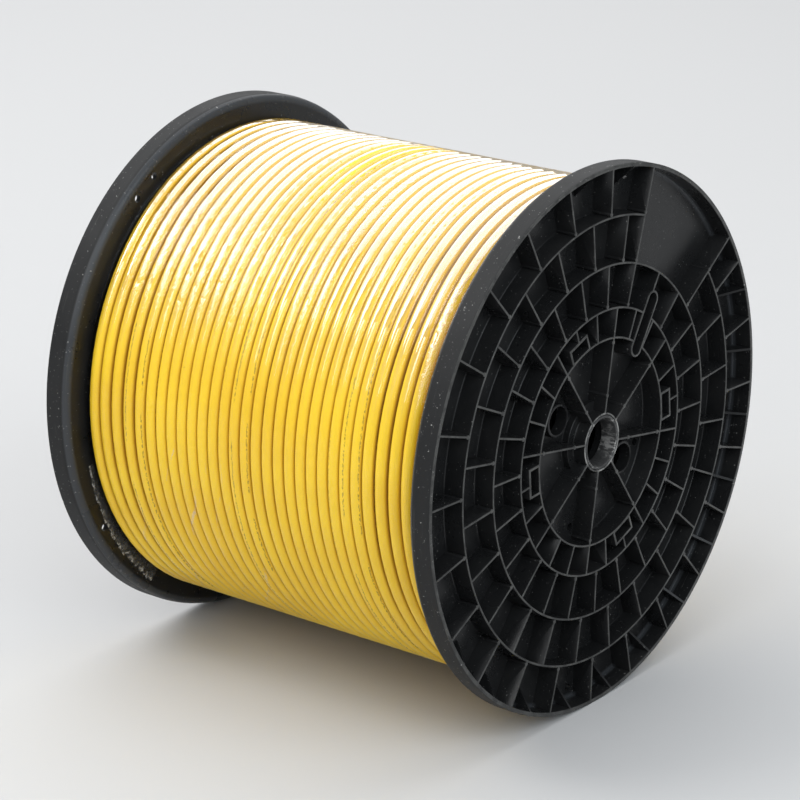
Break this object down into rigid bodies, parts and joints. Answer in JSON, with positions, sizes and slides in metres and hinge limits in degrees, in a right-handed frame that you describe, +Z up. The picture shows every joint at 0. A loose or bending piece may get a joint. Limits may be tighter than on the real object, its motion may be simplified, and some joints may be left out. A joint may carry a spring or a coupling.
{
  "type": "wire spool",
  "caption": "Round-flanged moulded plastic reel, wound full of thick round yellow cable and wrapped in clear stretch film.",
  "frame": {"origin": "middle of the reel, on its own axis", "axes": "+Y along the reel's axis, from the near flange towards the far flange; +Z up, and the reel stands on the two rims"},
  "size_m": [0.63, 0.552, 0.63],
  "materials": {
    "flange_plastic": "satin black moulded plastic, scuffed along its edges",
    "bush_plastic": "rubbed black plastic with pale scrapes",
    "barrel_plastic": "satin black moulded plastic",
    "cable_sheath": "smooth yellow sheath with a thin row of dark dashes",
    "stretch_film": "clear glossy film with creases"
  },
  "bodies": {
    "root": {"near_flange": "flange_plastic", "far_flange": "flange_plastic", "near_arbor_bush": "bush_plastic", "far_arbor_bush": "bush_plastic", "barrel_half_left": "barrel_plastic", "barrel_half_right": "barrel_plastic", "cable_layer_01": "cable_sheath", "cable_layer_02": "cable_sheath", "cable_layer_03": "cable_sheath", "cable_layer_04": "cable_sheath", "cable_layer_05": "cable_sheath", "cable_layer_06": "cable_sheath", "cable_layer_07": "cable_sheath", "cable_layer_08": "cable_sheath", "cable_layer_09": "cable_sheath", "cable_layer_10": "cable_sheath", "film_wrap": "stretch_film"}
  },
  "joints": []
}
